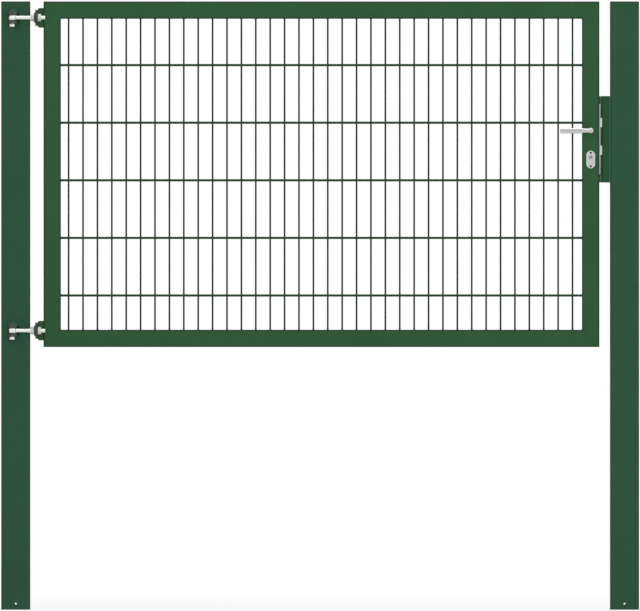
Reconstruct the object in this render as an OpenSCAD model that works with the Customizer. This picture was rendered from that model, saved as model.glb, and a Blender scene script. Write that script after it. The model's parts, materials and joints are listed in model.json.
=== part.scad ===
// Single-leaf garden gate: a tube frame filled with a double-wire mat, hung between two square
// posts on adjustable eyebolt hinges, with a mortice lock, lever handles and a strike on the post.
// X runs along the fence, Y runs into the garden, Z is up.
// The origin is the centre of the hinge post's foot.

/* [Posts] */
// Side of the square post tube
post_w = 100; // [80:1:140]
// Wall of the post tube
post_wall = 3; // [2:0.5:5]
// Outer corner radius of the post tube
post_r = 6; // [4:0.5:10]
// Thickness of the plastic cap on a post
cap_t = 5; // [3:1:8]
// Depth of the cap's skirt inside the tube
cap_skirt = 20; // [10:1:40]
// Wall of the cap's skirt
cap_wall = 2; // [1.5:0.5:4]
// Radius of the anchor-rod hole through a post's foot
anchor_r = 4; // [3:0.5:6]
// Height of the anchor-rod hole above the foot
anchor_h = 20; // [15:1:60]

/* [Leaf] */
// Width of the leaf over its stiles
leaf_w = 1930; // [900:10:2400]
// Height of the leaf over its rails
leaf_h = 1200; // [800:10:1800]
// Height of the leaf's underside above the posts' feet
leaf_lift = 912; // [600:1:1200]
// Gap between the hinge post and the leaf
hinge_gap = 47; // [42:1:60]
// Gap between the leaf and the latch post
latch_gap = 38; // [34:1:50]
// Face width of the frame tube
frame_w = 60; // [55:1:80]
// Depth of the frame tube
frame_d = 40; // [36:1:60]
// Wall of the frame tube
frame_wall = 2; // [1.5:0.5:4]
// Outer corner radius of the frame tube
frame_r = 3; // [2.5:0.5:5]

/* [Wire mat] */
// Diameter of the single upright wires, coating included
upright_d = 6; // [4.5:0.1:8]
// Diameter of the paired cross wires, coating included
cross_d = 8; // [5.5:0.1:9]
// Spacing of the upright wires
upright_pitch = 50; // [40:1:60]
// Spacing of the cross wires
cross_pitch = 200; // [150:1:250]
// Distance from the hinge stile to the first upright wire
upright_start = 27; // [15:1:50]
// Distance from the bottom rail to the first cross wires
cross_start = 119; // [60:1:180]
// Depth to which two crossing wires are welded into each other
weld_depth = 0.4; // [0.2:0.1:1]

/* [Hinges] */
// Distance of each hinge from the leaf's top or bottom edge
hinge_inset = 57; // [45:1:200]
// Distance of the pivot from the hinge post's inner face
pivot_back = 59; // [40:1:65]
// Distance of the pivot in front of the post's face
pivot_out = 23; // [22:1:35]
// Diameter of the hinge bolt
pin_d = 12; // [10:0.5:14]
// Radial play of the hinge bolt in its bores
pin_play = 0.05; // [0.02:0.01:0.1]
// Diameter of the eyebolt's ball-shaped eye
eye_d = 27; // [26:1:36]
// Thickness of the eye
eye_t = 16; // [14:1:20]
// Diameter of the eyebolt's shank
shank_d = 14; // [12:0.5:16]
// Length of the forged neck between the eye and the shank
neck_len = 8; // [4:1:14]
// Length of the shank that stands out beyond the last nut
shank_tail = 14.5; // [8:0.5:30]
// Thickness of a clevis ear
ear_t = 6; // [5:0.5:8]
// Width of the clevis
clevis_w = 30; // [28:1:40]
// Height of the clevis base plate
clevis_h = 60; // [56:1:80]
// Thickness of the clevis base plate
clevis_base_t = 4; // [3:0.5:5]
// Bevel round the front rim of the clevis base plate
clevis_bevel = 1.5; // [0.5:0.5:2]
// Thickness of the plastic spacer between the eye and an ear
spacer_t = 6; // [1.5:0.5:6]
// Diameter of the plastic spacer
spacer_d = 24; // [20:1:28]
// Play between the eye and each spacer
eye_play = 0.3; // [0.2:0.1:0.6]
// Width across flats of the hinge bolt's head
pin_af = 19; // [17:1:22]
// Height of the hinge bolt's head
pin_head_h = 9; // [7:0.5:12]
// Bare length of hinge bolt between the lower ear and its head
pin_bare = 2; // [0:0.5:6]
// Depth of the hinge bolt's tip below the top of the upper ear
pin_recess = 0.5; // [0:0.5:2]

/* [Leaf brackets] */
// Distance from the leaf's edge to the bracket's cross plate
bracket_reach = 24; // [21:1:26]
// Thickness of both bracket plates
bracket_t = 4; // [4:0.5:8]
// Distance that the bracket's flat plate lies behind the leaf's front
bracket_setback = 4; // [0:1:12]
// Height of the bracket's cross plate
bracket_h = 58; // [50:1:80]
// Height of the bracket's flat plate at the stile
bracket_root_h = 68; // [50:1:90]
// Height of the bracket's flat plate at the cross plate
bracket_neck_h = 50; // [30:1:56]
// Length of the slanted corners of the flat plate
bracket_slant = 8; // [4:1:16]
// Width across flats of the adjusting nuts
nut_af = 22; // [19:1:24]
// Height of an adjusting nut
nut_h = 11; // [9:0.5:14]
// Diameter of the domed plastic washers
washer_d = 38; // [32:1:44]
// Thickness of a plastic washer at its middle
washer_t = 5; // [3:0.5:6]
// Thickness of a plastic washer at its rim
washer_rim_t = 2.4; // [1:0.1:2.6]
// Distance that the washers stand out in front of the cross plate
washer_overhang = 7; // [0:0.5:8]

/* [Lock] */
// Distance from the leaf's edge to the spindle and the cylinder
backset = 30; // [28:1:36]
// Height of the lever's spindle above the leaf's underside
spindle_h = 751; // [500:1:900]
// Distance from the spindle down to the cylinder's key axis
key_drop = 92; // [72:20:92]
// Distance from the spindle up to the middle of the latch bolt
latch_rise = 28.5; // [26:0.5:34]
// Distance from the key axis up to the middle of the deadbolt
deadbolt_rise = 24.5; // [24.5:0.5:28]
// Distance from the spindle down to the middle of the faceplate
plate_drop = 29.5; // [20:0.5:40]
// Height of the lock's faceplate
plate_h = 245; // [235:1:280]
// Width of the lock's faceplate
plate_w = 24; // [20:1:26]
// Thickness of the lock's faceplate
plate_t = 3.5; // [3:0.5:6]
// Thickness of the lock case
case_t = 16; // [15:0.5:18]
// Height of the lock case
case_h = 190; // [185:1:210]
// Height of the latch bolt and of the deadbolt
bolt_h = 32; // [26:1:32]
// Thickness of the latch bolt and of the deadbolt
bolt_t = 12; // [9:0.5:12]
// Distance that the latch bolt stands out and can be drawn back
latch_travel = 12; // [10:0.5:14]
// Distance that the deadbolt stands out and can be drawn back
deadbolt_travel = 20; // [15:1:22]
// Play round the bolts inside the case and the faceplate
bolt_play = 0.5; // [0.3:0.1:1]

/* [Handles and cylinder] */
// Distance from the spindle to the tip of the lever
lever_reach = 105; // [90:1:130]
// Distance from the stile's face to the front of the grip
lever_out = 52; // [45:1:65]
// Diameter of the lever's boss
boss_d = 17; // [16:1:26]
// Height of the grip
grip_h = 18.5; // [16:0.5:22]
// Thickness of the grip
grip_t = 13; // [10:0.5:16]
// Height of the neck between the boss and the grip
neck_h = 15.5; // [13:0.5:16]
// Distance from the spindle to the start of the grip
neck_reach = 28; // [22:1:36]
// Gap between a lever's boss and the stile
boss_gap = 0.5; // [0.3:0.1:2]
// Side of the square spindle
spindle_w = 8; // [7:1:10]
// Width of the oval cover plate
cover_w = 30.5; // [30:0.5:36]
// Height of the oval cover plate
cover_h = 61; // [60:0.5:80]
// Thickness of the oval cover plate
cover_t = 3; // [2.5:0.5:5]
// Width of the raised rim round the cover plate
cover_rim = 3.5; // [2:0.5:5]
// Spacing of the cover plate's two screws
cover_screws = 47; // [45:1:60]
// Distance that the cylinder stands out of its cover plates
cylinder_out = 1; // [0:0.5:3]
// Radius of the turning plug
plug_r = 6.5; // [6:0.1:7]
// Length of the turning plug
plug_len = 20; // [15:1:22]
// Width of the keyway
keyway_w = 2; // [1.5:0.5:3]
// Radial play of the plug in the cylinder
plug_play = 0.05; // [0.02:0.01:0.1]

/* [Strike] */
// Height of the strike box and its stop
strike_h = 300; // [280:1:400]
// Distance that the strike box's front lies behind the leaf's front
strike_setback = 5; // [0:1:6]
// Wall of the strike box
strike_wall = 2.5; // [2:0.5:3]
// Outer corner radius of the strike box
strike_r = 4.5; // [3:0.5:6]
// Gap between the lock's faceplate and the strike box
strike_gap = 6; // [5:0.5:8]
// Play round a bolt in its slot in the strike box
slot_play = 3; // [1.5:0.5:4]
// Thickness of the stop bar behind the leaf
stop_t = 3; // [3:0.5:6]
// Distance that the stop bar laps behind the leaf
stop_lap = 9; // [7:0.5:9]
// Thickness of the rubber buffer on the stop bar
buffer_t = 5; // [3:0.5:8]
// Gap between the rubber buffer and the closed leaf
buffer_gap = 5; // [5:0.5:8]
// Length by which the buffer ends short of the stop bar
buffer_short = 27; // [0:1:40]

/* [Hidden] */
$fn = 64;
wire_fn = 8;
thread_play = 0.05;
chamfer = 1;

post_front = -post_w / 2;
post_len = leaf_lift + leaf_h - cap_t;
leaf_left = post_w / 2 + hinge_gap;
leaf_right = leaf_left + leaf_w;
latch_face = leaf_right + latch_gap;
latch_post_x = latch_face + post_w / 2;
leaf_front = post_front;
leaf_back = leaf_front + frame_d;
leaf_mid = leaf_front + frame_d / 2;
inside_w = leaf_w - 2 * frame_w;
inside_h = leaf_h - 2 * frame_w;

// The last wire keeps at least this share of its spacing from the far side of the frame
end_share = 1 / 3;
upright_count = floor((inside_w - upright_start) / upright_pitch - end_share) + 1;
cross_count = floor((inside_h - cross_start) / cross_pitch - end_share) + 1;
cross_offset = upright_d / 2 + cross_d / 2 - weld_depth;

hinge_heights = [leaf_lift + leaf_h - hinge_inset, leaf_lift + hinge_inset];
pivot_x = post_w / 2 - pivot_back;
pivot_y = post_front - pivot_out;
bore_r = pin_d / 2 + pin_play;
ear_in = eye_t / 2 + eye_play + spacer_t;
ear_out = ear_in + ear_t;

cross_plate_x = leaf_left - bracket_reach - bracket_t;
cross_plate_lip = washer_d / 2 - washer_overhang;
eyebolt_len = cross_plate_x + bracket_t + washer_t + nut_h + shank_tail - pivot_x;
post_nut_x = cross_plate_x - washer_t - nut_h;
leaf_nut_x = cross_plate_x + bracket_t + washer_t;

spindle_x = leaf_right - backset;
spindle_z = leaf_lift + spindle_h;
key_z = spindle_z - key_drop;
latch_z = spindle_z + latch_rise;
deadbolt_z = key_z + deadbolt_rise;
plate_z = spindle_z - plate_drop;
case_back_gap = 3;
case_d = frame_w - frame_wall - case_back_gap;
plate_r = 1.5;
plate_face = leaf_right + plate_t;
latch_len = 45;
latch_bevel = 9;
latch_lip = 2;
deadbolt_head = deadbolt_travel + plate_t - bolt_play;
deadbolt_tail_h = 22;
deadbolt_tail_len = 26;
deadbolt_tail_rise = 2;

cylinder_r = 8.5;
cylinder_tail_w = 10;
cylinder_tail = 24.5;
cover_z = key_z + cylinder_r - (cylinder_r + cylinder_tail) / 2;
cover_recess = 0.6;
cylinder_len = frame_d + 2 * (cover_t + cylinder_out);
screw_hole_r = 2.2;
screw_head_r = 4;
profile_play = 0.3;

strike_x = plate_face + strike_gap;
strike_w = latch_face - strike_x;
stop_front = leaf_back + buffer_gap + buffer_t;
strike_front = leaf_front + strike_setback;
strike_d = stop_front - strike_front;

green = "#325738";
post_green = "#30513b";
zinc = "#d4dcd6";
aluminium = "#c8c8ca";
steel = "#bec8be";
dark_plastic = "#3c443c";
black_rubber = "#222622";

// ---- shapes shared by several pieces ----

// A square-cornered outline with true arcs at its corners, centred on the origin
module rounded_square(w, h, r) {
    square([w - 2 * r, h], center = true);
    square([w, h - 2 * r], center = true);
    for (sx = [-1, 1], sy = [-1, 1])
        translate([sx * (w / 2 - r), sy * (h / 2 - r)]) circle(r = r);
}

// An upright outline with half-round ends
module stadium(w, h) {
    square([w, h - w], center = true);
    for (s = [-1, 1])
        translate([0, s * (h - w) / 2]) circle(d = w);
}

// The cross-section of a rectangular tube
module tube_outline(w, h, r, wall) {
    difference() {
        rounded_square(w, h, r);
        rounded_square(w - 2 * wall, h - 2 * wall, max(r - wall, 0.5));
    }
}

// Stands an XZ outline up at depth y and gives it a thickness in +Y
module upright_plate(y, t) {
    translate([0, y + t, 0]) rotate([90, 0, 0]) linear_extrude(t) children();
}

// Lays a ZY outline along +X from x over a length
module along_x(x, len) {
    translate([x, 0, 0]) rotate([90, 0, 90]) linear_extrude(len) children();
}

function corner_d(af) = af / cos(30);

// ---- posts ----

module post(x) {
    color(post_green)
        translate([x, 0, 0])
            difference() {
                linear_extrude(post_len) tube_outline(post_w, post_w, post_r, post_wall);
                translate([0, 0, anchor_h]) rotate([90, 0, 0])
                    cylinder(r = anchor_r, h = 2 * post_w, center = true);
            }
}

module post_cap(x) {
    skirt_w = post_w - 2 * post_wall - 2 * profile_play;
    skirt_r = max(post_r - post_wall, 0.5);
    color(post_green)
        translate([x, 0, post_len]) {
            linear_extrude(cap_t - chamfer) rounded_square(post_w, post_w, post_r);
            translate([0, 0, cap_t - chamfer]) linear_extrude(chamfer)
                rounded_square(post_w - 2 * chamfer, post_w - 2 * chamfer, post_r - chamfer);
            translate([0, 0, -cap_skirt]) linear_extrude(cap_skirt)
                tube_outline(skirt_w, skirt_w, skirt_r, cap_wall);
        }
}

// ---- hinges, post side ----

module clevis_ear() {
    linear_extrude(ear_t) {
        circle(d = clevis_w);
        translate([-clevis_w / 2, 0]) square([clevis_w, pivot_out - clevis_base_t + clevis_bevel]);
    }
}

// An upright plate with half-round ends that lies against the post and is bevelled round its front
module clevis_base() {
    straight = clevis_h - clevis_w;
    flat_t = clevis_base_t - clevis_bevel;
    front_w = clevis_w - 2 * clevis_bevel;
    translate([0, pivot_out, 0]) {
        for (s = [-1, 1])
            translate([0, 0, s * straight / 2]) rotate([90, 0, 0]) {
                cylinder(d = clevis_w, h = flat_t);
                translate([0, 0, flat_t]) cylinder(d1 = clevis_w, d2 = front_w, h = clevis_bevel);
            }
        translate([0, 0, -straight / 2])
            linear_extrude(straight)
                polygon([
                    [-clevis_w / 2, 0],
                    [-clevis_w / 2, -flat_t],
                    [-front_w / 2, -clevis_base_t],
                    [front_w / 2, -clevis_base_t],
                    [clevis_w / 2, -flat_t],
                    [clevis_w / 2, 0]
                ]);
    }
}

module hinge_clevis(z) {
    color(post_green)
        translate([pivot_x, pivot_y, z])
            difference() {
                union() {
                    clevis_base();
                    translate([0, 0, ear_in]) clevis_ear();
                    translate([0, 0, -ear_out]) clevis_ear();
                }
                cylinder(r = bore_r, h = 2 * clevis_h, center = true);
            }
}

module hinge_bolt(z) {
    head_top = -ear_out - pin_bare;
    shank_top = ear_out - pin_recess;
    color(zinc)
        translate([pivot_x, pivot_y, z]) {
            translate([0, 0, head_top]) cylinder(d = pin_d, h = shank_top - head_top - chamfer);
            translate([0, 0, shank_top - chamfer])
                cylinder(d1 = pin_d, d2 = pin_d - 2 * chamfer, h = chamfer);
            translate([0, 0, head_top - pin_head_h]) hex_with_soft_corners(pin_af, pin_head_h);
        }
}

module hinge_spacers(z) {
    color(dark_plastic)
        translate([pivot_x, pivot_y, z])
            for (bottom = [ear_in - spacer_t, -ear_in])
                translate([0, 0, bottom])
                    difference() {
                        cylinder(d = spacer_d, h = spacer_t);
                        cylinder(r = bore_r, h = 3 * spacer_t, center = true);
                    }
}

// A hexagon whose corners are turned off at both ends, as on a nut or a bolt head
module hex_with_soft_corners(af, h) {
    bevel = (corner_d(af) - af) / 2;
    slope = bevel * tan(30);
    intersection() {
        cylinder(d = corner_d(af), h = h, $fn = 6);
        rotate_extrude()
            polygon([[0, 0], [af / 2, 0], [af / 2 + bevel, slope], [af / 2 + bevel, h - slope],
                     [af / 2, h], [0, h]]);
    }
}

// ---- hinges, leaf side ----

module eyebolt(z) {
    eye_side = sqrt(eye_d * eye_d - eye_t * eye_t) / 2 - chamfer;
    color(zinc)
        translate([pivot_x, pivot_y, z])
            difference() {
                union() {
                    intersection() {
                        sphere(d = eye_d);
                        cube([2 * eye_d, 2 * eye_d, eye_t], center = true);
                    }
                    translate([eye_side, 0, 0]) rotate([0, 90, 0])
                        cylinder(d1 = eye_t, d2 = shank_d, h = neck_len);
                    rotate([0, 90, 0]) cylinder(d = shank_d, h = eyebolt_len - chamfer);
                    translate([eyebolt_len - chamfer, 0, 0]) rotate([0, 90, 0])
                        cylinder(d1 = shank_d, d2 = shank_d - 2 * chamfer, h = chamfer);
                }
                cylinder(r = bore_r, h = 2 * eye_t, center = true);
            }
}

module adjusting_nut(x, z) {
    color(zinc)
        translate([x, pivot_y, z]) rotate([0, 90, 0])
            difference() {
                hex_with_soft_corners(nut_af, nut_h);
                cylinder(r = shank_d / 2 + thread_play, h = 3 * nut_h, center = true);
            }
}

// A round plastic washer with one flat side at z = 0 and one domed side
module domed_washer() {
    crown = washer_t - washer_rim_t;
    reach = washer_d / 2 - nut_af / 2 - chamfer;
    dome_r = (reach * reach + crown * crown) / (2 * crown);
    rotate_extrude()
        intersection() {
            translate([shank_d / 2 + thread_play, 0])
                square([washer_d / 2 - shank_d / 2 - thread_play, washer_t]);
            union() {
                translate([washer_d / 2 - reach, washer_t - dome_r]) circle(r = dome_r, $fn = 128);
                square([washer_d / 2 - reach, washer_t]);
            }
        }
}

module post_side_washer(z) {
    color(dark_plastic)
        translate([cross_plate_x, pivot_y, z]) rotate([0, -90, 0]) domed_washer();
}

module leaf_side_washer(z) {
    color(dark_plastic)
        translate([cross_plate_x + bracket_t, pivot_y, z]) rotate([0, 90, 0]) domed_washer();
}

// Cross plate that the eyebolt passes through, and flat plate that carries it from the stile
module leaf_bracket(z) {
    front = pivot_y - cross_plate_lip;
    plate_front = leaf_front + bracket_setback;
    depth = plate_front + bracket_t - front;
    nose_r = 10;
    hole_play = 0.5;
    root_x = leaf_left;
    neck_x = leaf_left - bracket_reach;
    color(green)
        difference() {
            union() {
                along_x(cross_plate_x, bracket_t) {
                    translate([front + nose_r, z - bracket_h / 2]) square([depth - nose_r, bracket_h]);
                    translate([front, z - bracket_h / 2 + nose_r])
                        square([nose_r, bracket_h - 2 * nose_r]);
                    for (s = [-1, 1])
                        translate([front + nose_r, z + s * (bracket_h / 2 - nose_r)]) circle(r = nose_r);
                }
                upright_plate(plate_front, bracket_t)
                    translate([0, z])
                        polygon([
                            [neck_x, -bracket_neck_h / 2],
                            [neck_x + bracket_slant, -bracket_root_h / 2],
                            [root_x, -bracket_root_h / 2],
                            [root_x, bracket_root_h / 2],
                            [neck_x + bracket_slant, bracket_root_h / 2],
                            [neck_x, bracket_neck_h / 2]
                        ]);
            }
            translate([cross_plate_x, pivot_y, z]) rotate([0, 90, 0])
                cylinder(r = shank_d / 2 + hole_play, h = 4 * bracket_t, center = true);
        }
}

// ---- leaf frame and mat ----

// A stile: a tube cut to a mitre at both ends; side is -1 for the hinge stile and 1 for the lock stile
module mitred_stile(side) {
    x = side < 0 ? leaf_left + frame_w / 2 : leaf_right - frame_w / 2;
    outer = side * frame_w / 2;
    intersection() {
        translate([x, leaf_mid, leaf_lift])
            linear_extrude(leaf_h) tube_outline(frame_w, frame_d, frame_r, frame_wall);
        upright_plate(leaf_front, frame_d)
            translate([x, leaf_lift])
                polygon([[outer, 0], [-outer, frame_w], [-outer, leaf_h - frame_w], [outer, leaf_h]]);
    }
}

// A rail: a tube cut to a mitre at both ends; side is -1 for the bottom rail and 1 for the top rail
module mitred_rail(side) {
    z = side < 0 ? leaf_lift + frame_w / 2 : leaf_lift + leaf_h - frame_w / 2;
    outer = side * frame_w / 2;
    intersection() {
        translate([0, leaf_mid, z])
            along_x(leaf_left, leaf_w) tube_outline(frame_d, frame_w, frame_r, frame_wall);
        upright_plate(leaf_front, frame_d)
            translate([leaf_left, z])
                polygon([[0, outer], [frame_w, -outer], [leaf_w - frame_w, -outer], [leaf_w, outer]]);
    }
}

module hinge_stile() {
    color(green) mitred_stile(-1);
}

module lock_stile() {
    color(green)
        difference() {
            mitred_stile(1);
            translate([leaf_right, leaf_mid, plate_z])
                cube([3 * frame_wall, case_t + 2 * bolt_play, case_h + 2 * bolt_play], center = true);
            translate([spindle_x, leaf_mid, spindle_z]) rotate([90, 0, 0])
                cylinder(r = spindle_w, h = 2 * frame_d, center = true);
            upright_plate(leaf_front - frame_d / 2, 2 * frame_d)
                translate([spindle_x, key_z]) cylinder_profile(1);
        }
}

module top_rail() {
    color(green) mitred_rail(1);
}

module bottom_rail() {
    color(green) mitred_rail(-1);
}

// A wire of few sides whose width across flats is d
module wire(d, len) {
    rotate(180 / wire_fn) cylinder(d = d / cos(180 / wire_fn), h = len, $fn = wire_fn);
}

module wire_mat() {
    color(green) {
        for (i = [0 : upright_count - 1])
            translate([leaf_left + frame_w + upright_start + i * upright_pitch, leaf_mid,
                       leaf_lift + frame_w])
                wire(upright_d, inside_h);
        for (i = [0 : cross_count - 1], s = [-1, 1])
            translate([leaf_left + frame_w, leaf_mid + s * cross_offset,
                       leaf_lift + frame_w + cross_start + i * cross_pitch])
                rotate([0, 90, 0]) wire(cross_d, inside_w);
    }
}

// ---- lock ----

// The cylinder's outline seen from the front, with its key axis at the origin
module cylinder_profile(play) {
    circle(r = cylinder_r + play);
    translate([0, -cylinder_tail + cylinder_tail_w / 2]) circle(d = cylinder_tail_w + 2 * play);
    translate([-cylinder_tail_w / 2 - play, -cylinder_tail + cylinder_tail_w / 2])
        square([cylinder_tail_w + 2 * play, cylinder_tail - cylinder_tail_w / 2]);
}

// Box that reaches back from the face of the lock, centred on the leaf's depth
module lock_block(face, len, t, h, z) {
    translate([face - len, leaf_mid - t / 2, z - h / 2]) cube([len, t, h]);
}

module lock_case() {
    latch_room = latch_len - plate_t + bolt_play;
    head_room = deadbolt_travel + bolt_play;
    tail_room = deadbolt_travel + deadbolt_tail_len + bolt_play;
    room_t = bolt_t + 2 * bolt_play;
    room_h = bolt_h + 2 * bolt_play;
    color(steel)
        difference() {
            lock_block(leaf_right, case_d, case_t, case_h, plate_z);
            lock_block(leaf_right + chamfer, latch_room + chamfer, room_t, room_h, latch_z);
            lock_block(leaf_right + chamfer, head_room + chamfer, room_t, room_h, deadbolt_z);
            lock_block(leaf_right + chamfer, tail_room + chamfer, room_t,
                       deadbolt_tail_h + 2 * bolt_play, deadbolt_z + deadbolt_tail_rise);
            translate([spindle_x, leaf_mid, spindle_z]) rotate([90, 0, 0])
                cylinder(r = spindle_w / sqrt(2) + bolt_play, h = 2 * frame_d, center = true);
            upright_plate(leaf_front, frame_d)
                translate([spindle_x, key_z]) cylinder_profile(profile_play);
        }
}

module lock_faceplate() {
    color(steel)
        difference() {
            translate([0, leaf_mid, plate_z])
                along_x(leaf_right, plate_t) rounded_square(plate_w, plate_h, plate_r);
            for (z = [latch_z, deadbolt_z])
                lock_block(plate_face + chamfer, 2 * plate_t + chamfer, bolt_t + 2 * bolt_play,
                           bolt_h + 2 * bolt_play, z);
        }
}

// The latch's tip slopes on the side that meets the strike when the leaf closes
module latch_bolt() {
    tip = plate_face + latch_travel;
    back = tip - latch_len;
    color(zinc)
        translate([0, 0, latch_z - bolt_h / 2])
            linear_extrude(bolt_h)
                polygon([
                    [back, leaf_mid - bolt_t / 2],
                    [tip, leaf_mid - bolt_t / 2],
                    [tip, leaf_mid - bolt_t / 2 + latch_lip],
                    [tip - latch_bevel, leaf_mid + bolt_t / 2],
                    [back, leaf_mid + bolt_t / 2]
                ]);
}

module deadbolt() {
    tip = plate_face + deadbolt_travel;
    color(zinc)
        union() {
            lock_block(tip, deadbolt_head, bolt_t, bolt_h, deadbolt_z);
            lock_block(tip - deadbolt_head, deadbolt_tail_len, bolt_t, deadbolt_tail_h,
                       deadbolt_z + deadbolt_tail_rise);
        }
}

// A flat oval plate round the cylinder, with a raised rim; out is -1 at the front and 1 at the back
module lock_cover(out) {
    root = out < 0 ? leaf_front : leaf_back;
    face_t = cover_t - cover_recess;
    color(steel)
        translate([spindle_x, root, cover_z]) rotate([-out * 90, 0, 0])
            difference() {
                linear_extrude(cover_t) stadium(cover_w, cover_h);
                translate([0, 0, face_t]) linear_extrude(cover_t)
                    stadium(cover_w - 2 * cover_rim, cover_h - 2 * cover_rim);
                translate([0, -out * (key_z - cover_z), -cover_t]) linear_extrude(3 * cover_t)
                    mirror([0, out < 0 ? 0 : 1]) cylinder_profile(profile_play);
                for (s = [-1, 1])
                    translate([0, s * cover_screws / 2, 0]) {
                        cylinder(r = screw_hole_r, h = 3 * cover_t, center = true);
                        cylinder(r1 = screw_hole_r, r2 = screw_head_r, h = face_t);
                    }
            }
}

module lock_cylinder() {
    front = leaf_mid - cylinder_len / 2;
    color(steel)
        difference() {
            upright_plate(front, cylinder_len) translate([spindle_x, key_z]) cylinder_profile(0);
            translate([spindle_x, front + plug_len, key_z]) rotate([90, 0, 0])
                cylinder(r = plug_r + plug_play, h = 2 * plug_len);
        }
}

// The plug that the key turns, with its keyway at a slant
module key_plug() {
    front = leaf_mid - cylinder_len / 2;
    keyway_tilt = 30;
    keyway_h = 9;
    keyway_back = 3;
    color(zinc)
        translate([spindle_x, front, key_z])
            difference() {
                rotate([-90, 0, 0]) cylinder(r = plug_r, h = plug_len);
                rotate([0, keyway_tilt, 0])
                    cube([keyway_w, 2 * (plug_len - keyway_back), keyway_h], center = true);
            }
}

// ---- handles ----

// A lever as seen from the front: a boss on the spindle, a neck and a grip towards the hinges
module lever_shape() {
    tip_r = 4;
    section_r = 6;
    boss_chamfer = 2;
    lap = 2;
    front = -lever_out;
    grip_mid = front + grip_t / 2;
    grip_len = lever_reach - neck_reach + lap;
    difference() {
        union() {
            translate([0, -boss_gap, 0]) rotate([90, 0, 0])
                cylinder(d = boss_d, h = lever_out - boss_gap - boss_chamfer);
            translate([0, front + boss_chamfer, 0]) rotate([90, 0, 0])
                cylinder(d1 = boss_d, d2 = boss_d - 2 * boss_chamfer, h = boss_chamfer);
            along_x(-neck_reach, neck_reach)
                translate([grip_mid, 0]) rounded_square(grip_t, neck_h, section_r);
            intersection() {
                along_x(-lever_reach, grip_len)
                    translate([grip_mid, 0]) rounded_square(grip_t, grip_h, section_r);
                upright_plate(front, grip_t)
                    translate([grip_len / 2 - lever_reach, 0])
                        rounded_square(grip_len, grip_h, tip_r);
            }
        }
        translate([0, -lever_out / 2 + grip_t, 0])
            cube([spindle_w, lever_out, spindle_w], center = true);
    }
}

module front_lever() {
    color(aluminium) translate([spindle_x, leaf_front, spindle_z]) lever_shape();
}

module back_lever() {
    color(aluminium) translate([spindle_x, leaf_back, spindle_z]) mirror([0, 1, 0]) lever_shape();
}

module lever_spindle() {
    socket_depth = lever_out - grip_t;
    color(zinc)
        translate([spindle_x, leaf_mid, spindle_z])
            cube([spindle_w, frame_d + 2 * socket_depth, spindle_w], center = true);
}

// ---- strike ----

module strike_box() {
    mid_y = strike_front + strike_d / 2;
    color(post_green)
        difference() {
            translate([strike_x + strike_w / 2, mid_y, plate_z - strike_h / 2])
                linear_extrude(strike_h) tube_outline(strike_w, strike_d, strike_r, strike_wall);
            for (z = [latch_z, deadbolt_z])
                translate([strike_x, leaf_mid, z])
                    cube([3 * strike_wall, bolt_t + 2 * slot_play, bolt_h + 2 * slot_play], center = true);
        }
}

module stop_bar() {
    left = leaf_right - stop_lap;
    right = latch_face - strike_r;
    color(post_green)
        translate([left, stop_front, plate_z - strike_h / 2]) cube([right - left, stop_t, strike_h]);
}

module stop_buffer() {
    left = leaf_right - stop_lap;
    lip_r = 2;
    color(black_rubber)
        translate([0, 0, plate_z - strike_h / 2 + buffer_short])
            linear_extrude(strike_h - 2 * buffer_short) {
                translate([left + lip_r, stop_front - buffer_t])
                    square([stop_lap - lip_r, buffer_t]);
                translate([left, stop_front - buffer_t + lip_r]) square([lip_r, buffer_t - lip_r]);
                translate([left + lip_r, stop_front - buffer_t + lip_r]) circle(r = lip_r);
            }
}

// ---- the assembly ----

post(0);  // hinge_post
post(latch_post_x);  // latch_post
post_cap(0);  // hinge_post_cap
post_cap(latch_post_x);  // latch_post_cap
hinge_clevis(hinge_heights[0]);  // upper_hinge_clevis
hinge_clevis(hinge_heights[1]);  // lower_hinge_clevis
hinge_bolt(hinge_heights[0]);  // upper_hinge_bolt
hinge_bolt(hinge_heights[1]);  // lower_hinge_bolt
hinge_spacers(hinge_heights[0]);  // upper_hinge_spacers
hinge_spacers(hinge_heights[1]);  // lower_hinge_spacers
strike_box();
stop_bar();
stop_buffer();
hinge_stile();
lock_stile();
top_rail();
bottom_rail();
wire_mat();
leaf_bracket(hinge_heights[0]);  // upper_leaf_bracket
leaf_bracket(hinge_heights[1]);  // lower_leaf_bracket
eyebolt(hinge_heights[0]);  // upper_eyebolt
eyebolt(hinge_heights[1]);  // lower_eyebolt
adjusting_nut(post_nut_x, hinge_heights[0]);  // upper_post_side_nut
adjusting_nut(post_nut_x, hinge_heights[1]);  // lower_post_side_nut
adjusting_nut(leaf_nut_x, hinge_heights[0]);  // upper_leaf_side_nut
adjusting_nut(leaf_nut_x, hinge_heights[1]);  // lower_leaf_side_nut
post_side_washer(hinge_heights[0]);  // upper_post_side_washer
post_side_washer(hinge_heights[1]);  // lower_post_side_washer
leaf_side_washer(hinge_heights[0]);  // upper_leaf_side_washer
leaf_side_washer(hinge_heights[1]);  // lower_leaf_side_washer
lock_case();
lock_faceplate();
lock_cover(-1);  // front_lock_cover
lock_cover(1);  // back_lock_cover
lock_cylinder();
front_lever();
back_lever();
lever_spindle();
latch_bolt();
deadbolt();
key_plug();
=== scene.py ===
import json
import math
import random

import bpy
from mathutils import Matrix, Vector


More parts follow.
